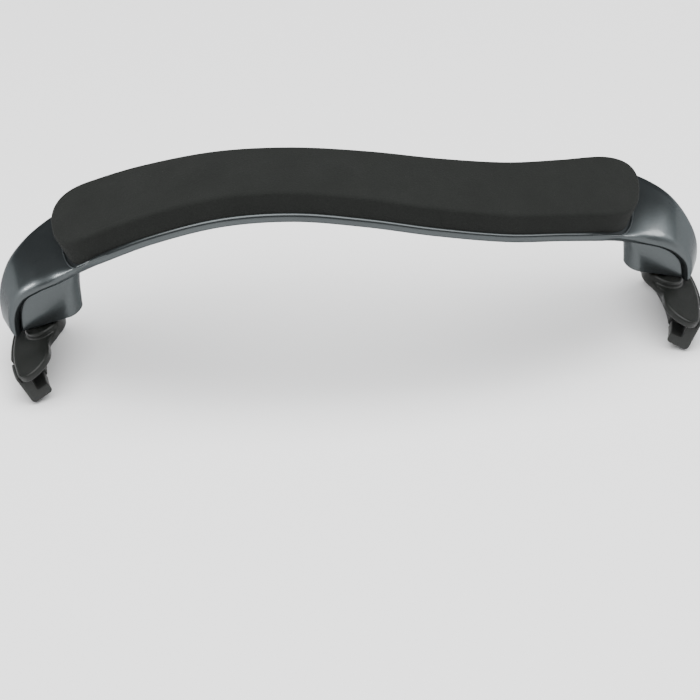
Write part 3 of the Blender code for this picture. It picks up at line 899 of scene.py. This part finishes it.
# ---- lips: thin ridges moulded on the beam round the pad's ends ----------------------------------------
def lip(bm, end, sign):
    """A ridge that follows the pad's rounded end, and sinks into the beam at both of its own ends."""
    share = np.linspace(0, 1, 40)
    x = end + sign * (PAD_INSET - LIP_GAP + (LIP_REACH + LIP_GAP) * (1 - np.cos(share * math.pi / 2)))
    on_pad = np.clip(x + sign * LIP_GAP, PAD_LEFT[0] + PAD_INSET, PAD_RIGHT[0] - PAD_INSET)
    middle, half = pad_outline(on_pad)
    half = half + LIP_GAP
    front = np.stack((x, middle - half), -1)[::-1]
    rear = np.stack((x, middle + half), -1)
    across = np.linspace(0, 1, 14)[1:-1, None]
    line = np.vstack((front, front[-1] + (rear[0] - front[-1]) * across, rear))
    points = over_beam(line[:, 0], line[:, 1], np.zeros(len(line)))
    points = points + curl_under(line[:, 0], line[:, 1:])[:, 0]
    run = np.concatenate(([0], np.cumsum(np.linalg.norm(np.diff(points, axis=0), axis=1))))
    even = np.linspace(0, run[-1], 120)
    points = np.stack([np.interp(even, run, points[:, k]) for k in range(3)], -1)
    for _ in range(6):
        points[1:-1] = (points[:-2] + 2 * points[1:-1] + points[2:]) / 4
    ups = section(along_at(points[:, 0]))[3]
    tangent = unit(np.gradient(points, axis=0))
    side = unit(np.cross(tangent, ups))
    fade = smoothstep(np.minimum(even, run[-1] - even) / LIP_FADE)
    rings = []
    for p, t, u, f in zip(points, side, ups, fade):
        centre = p + u * LIP_RADIUS * (LIP_SUNK + (LIP_STANDS - LIP_SUNK) * f)
        turns = [2 * math.pi * k / 12 for k in range(12)]
        rings.append([centre + LIP_RADIUS * (t * math.cos(a) + u * math.sin(a)) for a in turns])
    loft(bm, rings)


bm = bmesh.new()
lip(bm, PAD_LEFT[0], 1)
lip(bm, PAD_RIGHT[0], -1)
join(beam, to_mesh("lips", bm))

dress(frame["nodes"]["pad_adhesive"].data, film())


# ---- feet ---------------------------------------------------------------------------------------------
def on_rim(radius, angle, z):
    reach = RIM_RADIUS + radius - RIM_REACH
    return Vector((RIM_REACH - RIM_RADIUS + reach * math.cos(angle), reach * math.sin(angle), z))


def sweep(bm, outline, start, end, ease=0.0, steps=24):
    """An outline of (radius, z) points swept round the rim, with eased ends."""
    rings = [(start + on / RIM_RADIUS, by) for by, on in eased(ease, 4)[:-1]] if ease else []
    first, last = start + ease / RIM_RADIUS, end - ease / RIM_RADIUS
    middle = [(first + (last - first) * i / steps, 0.0) for i in range(steps + 1)]
    mirrored = [(start + end - angle, by) for angle, by in reversed(rings)]
    made = []
    for angle, by in rings + middle + mirrored:
        shape = inset(outline, by) if by else outline
        made.append([on_rim(p.x, angle, p.y) for p in shape])
    loft(bm, made)


def plate_outline():
    """The foot plate's outline, the arc outside and a hub and two lobes inside."""
    half = [on_rim(RIM_REACH, RIM_END * i / 6, 0) for i in range(7)]
    half = [(p.x, p.y) for p in half]
    half += [(0.0042, 0.0272), (0.0006, 0.0256), (-0.0022, 0.0222), (-0.0037, 0.0180), (-0.0034, 0.0142)]
    half += [(-0.0028, 0.0108), (-0.0048, 0.0072)]
    for degrees in (140, 160, 180):
        angle = math.radians(degrees)
        half.append((HUB_RADIUS * math.cos(angle), HUB_RADIUS * math.sin(angle)))
    loop = np.array(half + [(x, -y) for x, y in reversed(half[1:-1])])
    closed = np.vstack((loop[-2:], loop, loop[:3]))
    knots = np.concatenate(([0], np.cumsum(np.hypot(*np.diff(closed, axis=0).T))))
    wanted = np.linspace(knots[2], knots[2 + len(loop)], 161)[:-1]
    return [Vector(p) for p in hermite(knots, closed, wanted)]


def bracket_shape(bm):
    """Plate, hub and prongs, overlapping, before they are blended into one."""
    outline = plate_outline()
    edge = eased(PLATE_EASE, 4)
    rings = [[(*p, height) for p in inset(outline, inward)] for height, inward in reversed(edge)]
    rings += [[(*p, PLATE - depth) for p in inset(outline, inward)] for depth, inward in edge]
    loft(bm, rings)
    chamfer = 0.0001
    profile = [(0, HUB_HEIGHT)]
    profile += [(HUB_RADIUS - inward, HUB_HEIGHT - depth) for inward, depth in eased(HUB_EASE, 5)]
    profile += [(HUB_RADIUS, HUB_STEP), (HUB_BASE_RADIUS, HUB_STEP), (HUB_BASE_RADIUS, chamfer - HUB_BASE)]
    profile += [(HUB_BASE_RADIUS - 2 * chamfer, -HUB_BASE), (0, -HUB_BASE)]
    turned(bm, profile, 64)
    section_line = [
        Vector((RIM_REACH - PRONG, 0.0010)), Vector((RIM_REACH - 0.0006, 0.0010)),
        Vector((RIM_REACH - 0.0001, -0.0005)), Vector((RIM_REACH - 0.0001, -PRONG_DEPTH)),
        Vector((RIM_REACH - PRONG, -PRONG_DEPTH)),
    ]
    for start, end in CLAW_SPANS.values():
        sweep(bm, section_line, start + 2 * CLAW_END_WALL, end - 2 * CLAW_END_WALL, steps=8)


def bracket(side, place):
    bm = bmesh.new()
    bracket_shape(bm)
    made = link(f"{side}_foot_plate", to_mesh("foot_plate", bm), PLASTIC)
    blend = made.modifiers.new("blend", "REMESH")
    blend.mode = "VOXEL"
    blend.voxel_size = 0.00034
    relax = made.modifiers.new("relax", "SMOOTH")
    relax.factor = 0.5
    relax.iterations = 5
    apply_modifiers(made, 60)
    bm = bmesh.new()
    turned(bm, [
        (0, HUB_HEIGHT + PAST), (POST_RADIUS + 2 * GAP, HUB_HEIGHT + PAST),
        (POST_RADIUS + 2 * GAP, HUB_HEIGHT - 0.0002), (POST_RADIUS + GAP, HUB_HEIGHT - 0.0006),
        (POST_RADIUS + GAP, FLANGE_HIGH + GAP), (POST_FLANGE + GAP, FLANGE_HIGH + GAP),
        (POST_FLANGE + GAP, FLANGE_LOW - GAP), (0, FLANGE_LOW - GAP),
    ], 40)
    cut(made, to_mesh("socket", bm))
    bm = bmesh.new()
    turned(bm, [(0, 0.00030), (0.0008, 0.00022), (0.0012, 0.0), (0.0012, -PAST), (0, -PAST)], 32)
    cut(made, to_mesh("dimple", bm))
    made.data.transform(place)
    dress(made.data, PLASTIC)
    finish_piece(made, f"{side}_foot", "hard_plastic", f"{side}_bracket")


def claw(side, which, place):
    start, end = CLAW_SPANS[which]
    outer = RIM_REACH + GAP + RUBBER_SKIN
    inner = RIM_REACH - PRONG - GAP - RUBBER_SKIN
    lip = CLAW_LIP - CLAW_DEPTH
    outline = rounded([
        (RIM_REACH + GAP, CLAW_TOP, 0.0004),
        (RIM_REACH + GAP, -GAP, 0.0),
        (inner, -GAP, 0.0005),
        (inner, lip, 0.0008),
        (CLAW_REACH, lip, 0.0008),
        (CLAW_REACH, -CLAW_DEPTH, 0.0013),
        (outer, -CLAW_DEPTH, 0.0016),
        (outer, CLAW_TOP, 0.0005),
    ])
    bm = bmesh.new()
    sweep(bm, outline, start, end, ease=CLAW_EASE)
    made = link(f"{side}_{which}_rubber_claw", to_mesh("claw", bm), RUBBER)
    bm = bmesh.new()
    near, far = RIM_REACH - PRONG - GAP, RIM_REACH + GAP * 0.9
    low, high = -PRONG_DEPTH - GAP, 0.0012
    pocket = [Vector((near, high)), Vector((far, high)), Vector((far, low)), Vector((near, low))]
    sweep(bm, pocket, start + CLAW_END_WALL, end - CLAW_END_WALL, steps=10)
    cut(made, to_mesh("pocket", bm))
    middle = (start + end) / 2
    across = (outer + CLAW_REACH) / 2
    bm = bmesh.new()
    if which == "centre":
        # plain grip grooves across the underside
        near, far = CLAW_REACH + GROOVE_INSETS[0], outer - GROOVE_INSETS[1]
        low, high = -CLAW_DEPTH - PAST, -CLAW_DEPTH + GROOVE_DEPTH
        groove = [Vector((near, low)), Vector((far, low)), Vector((far, high)), Vector((near, high))]
        for k in range(-GROOVES, GROOVES + 1):
            angle = GROOVE_STEP * k
            sweep(bm, groove, angle - GROOVE_HALF_WIDTH, angle + GROOVE_HALF_WIDTH, steps=2)
    else:
        # the small hole that the mould leaves in each end claw
        turned(bm, [
            (0, 0.0022), (0.00055, 0.0022), (0.0008, 0.0002), (0.0011, -0.0004), (0.0011, -PAST), (0, -PAST),
        ], 24)
        bm.transform(Matrix.Translation(on_rim(across, middle, -CLAW_DEPTH)))
    cut(made, to_mesh("details", bm))
    made.data.transform(place)
    dress(made.data, RUBBER)
    finish_piece(made, f"{side}_foot", "rubber", f"{side}_{which}_claw")


def thread_depth(turn, z):
    """How far into the thread's V a place lies, from 0 on its crest to 1 in its root."""
    phase = (z / PITCH - turn / (2 * math.pi)) % 1
    return min(max(abs(2 * phase - 1) * THREAD_SLOPE - THREAD_CREST, 0), 1)


def threaded_rod(bm, radius, low, high, depth, sides=36):
    rings = []
    rows = int((high - low) / (PITCH / 7))
    for i in range(rows + 1):
        z = low + (high - low) * i / rows
        taper = min((high - z) / 0.0008, (z - low) / 0.0006, 1)
        ring = []
        for k in range(sides):
            turn = 2 * math.pi * k / sides
            into = depth * (1 - taper + taper * thread_depth(turn, z))
            ring.append(((radius - into) * math.cos(turn), (radius - into) * math.sin(turn), z))
        rings.append(ring)
    loft(bm, rings)


def post(side):
    chamfer = 0.0002
    bm = bmesh.new()
    threaded_rod(bm, POST_RADIUS, FLANGE_HIGH, POST_TOP, THREAD_DEPTH)
    turned(bm, [
        (0, FLANGE_HIGH), (POST_FLANGE - chamfer, FLANGE_HIGH), (POST_FLANGE, FLANGE_HIGH - chamfer),
        (POST_FLANGE, FLANGE_LOW), (0, FLANGE_LOW),
    ])
    bm.transform(Matrix.Translation(ORIGIN) @ seat_of(side))
    made = link(f"{side}_threaded_post", to_mesh("threaded_post", bm, 30), STEEL)
    finish_piece(made, f"{side}_post", "steel", f"{side}_post")


def insert(side, index):
    """A threaded sleeve with a knurled outside, a little below the mouth of its hole."""
    low = BOSS_FACE + GAP
    high = low + INSERT_LENGTH
    inner = POST_RADIUS + INSERT_PLAY
    chamfer = 0.0003
    sides = 36
    rows = int(INSERT_LENGTH / (PITCH / 5))
    profile = [(INSERT_RADIUS - chamfer / 2, high), (INSERT_RADIUS, high - chamfer / 2)]
    profile += [(INSERT_RADIUS, low + chamfer / 2), (INSERT_RADIUS - chamfer / 2, low)]
    bm = bmesh.new()
    columns = []
    for k in range(sides):
        turn = 2 * math.pi * k / sides
        knurl = KNURL * (k % 2)
        line = [(r - knurl, z) for r, z in profile]
        for i in range(rows + 1):
            z = low + INSERT_LENGTH * i / rows
            flare = chamfer * max(0, 1 - min(z - low, high - z) / chamfer)
            line.append((inner + INSERT_THREAD_DEPTH * thread_depth(turn, z) + flare, z))
        columns.append([(r * math.cos(turn), r * math.sin(turn), z) for r, z in line])
    loft(bm, columns, wrap=True)
    bm.transform(Matrix.Translation(ORIGIN) @ hole_matrix(side, index))
    name = f"{side}_insert_{HOLES[index]}"
    made = link(f"{name}_sleeve", to_mesh(name, bm, 30), BRASS)
    finish_piece(made, "beam", "brass", name)


for side in SIGNS:
    turn = Matrix.Rotation(SIGNS[side] * FOOT_TURN, 4, "Z")
    foot_place = Matrix.Translation(ORIGIN) @ seat_of(side) @ turn
    bracket(side, foot_place)
    for which in CLAW_SPANS:
        claw(side, which, foot_place)
    post(side)
    for index in range(len(HOLES)):
        insert(side, index)

for made in (beam, pad):
    made.data.transform(Matrix.Translation(ORIGIN))
finish_piece(beam, "beam", "painted_plastic", "beam")
finish_piece(pad, "beam", "foam", "foam_pad")

# ---- floor, light and camera ---------------------------------------------------------------------------
bpy.ops.mesh.primitive_plane_add(size=6, location=(0, 0, 0))
floor = bpy.context.object
floor.name = "floor"
ground = bpy.data.materials.new("floor")
ground.use_nodes = True
matt = ground.node_tree.nodes["Principled BSDF"]
matt.inputs["Base Color"].default_value = (0.93, 0.93, 0.93, 1)
matt.inputs["Roughness"].default_value = 0.8
floor.data.materials.append(ground)

world = bpy.data.worlds.new("studio")
world.use_nodes = True
sky = world.node_tree.nodes["Background"]
sky.inputs["Color"].default_value = (0.93, 0.96, 1.0, 1)
sky.inputs["Strength"].default_value = 0.16
bpy.context.scene.world = world


def lamp(name, place, aim, energy, size):
    """A soft box at a place, aimed at a point."""
    data = bpy.data.lights.new(name, "AREA")
    data.energy = energy
    data.shape = "RECTANGLE"
    data.size, data.size_y = size
    made = bpy.data.objects.new(name, data)
    made.location = place
    made.rotation_euler = (Vector(aim) - Vector(place)).to_track_quat("-Z", "Y").to_euler()
    bpy.context.scene.collection.objects.link(made)


lamp("overhead", (0.0, -0.3, 1.5), (0, 0, 0.04), 93.0, (2.6, 1.8))
lamp("left_box", (-1.25, 0.06, 0.14), (-0.11, 0, 0.04), 3.2, (0.14, 0.14))
lamp("right_box", (1.15, 0.20, 0.24), (0.11, 0, 0.04), 2.6, (0.17, 0.16))

AZIMUTH = math.radians(1.6)
ELEVATION = math.radians(34.5)
ROLL = math.radians(3.7)
DISTANCE = 1.179
AIM_HEIGHT = 0.01775  # over the screws' foot
LENS = 167.4
SHIFT = (-0.0032, -0.1201)
level = math.cos(ELEVATION)
back = Vector((-math.sin(AZIMUTH) * level, -math.cos(AZIMUTH) * level, math.sin(ELEVATION)))
right = Vector((0, 0, 1)).cross(back).normalized()
up = back.cross(right)
camera_right = right * math.cos(ROLL) - up * math.sin(ROLL)
camera_up = right * math.sin(ROLL) + up * math.cos(ROLL)
camera = bpy.data.objects.new("camera", bpy.data.cameras.new("camera"))
camera.data.sensor_width = 36
camera.data.lens = LENS
camera.data.shift_x, camera.data.shift_y = SHIFT
target = ORIGIN + Vector((0, 0, AIM_HEIGHT))
basis = Matrix((camera_right, camera_up, back)).transposed().to_4x4()
camera.matrix_world = Matrix.Translation(target + back * DISTANCE) @ basis
bpy.context.scene.collection.objects.link(camera)
bpy.context.scene.camera = camera
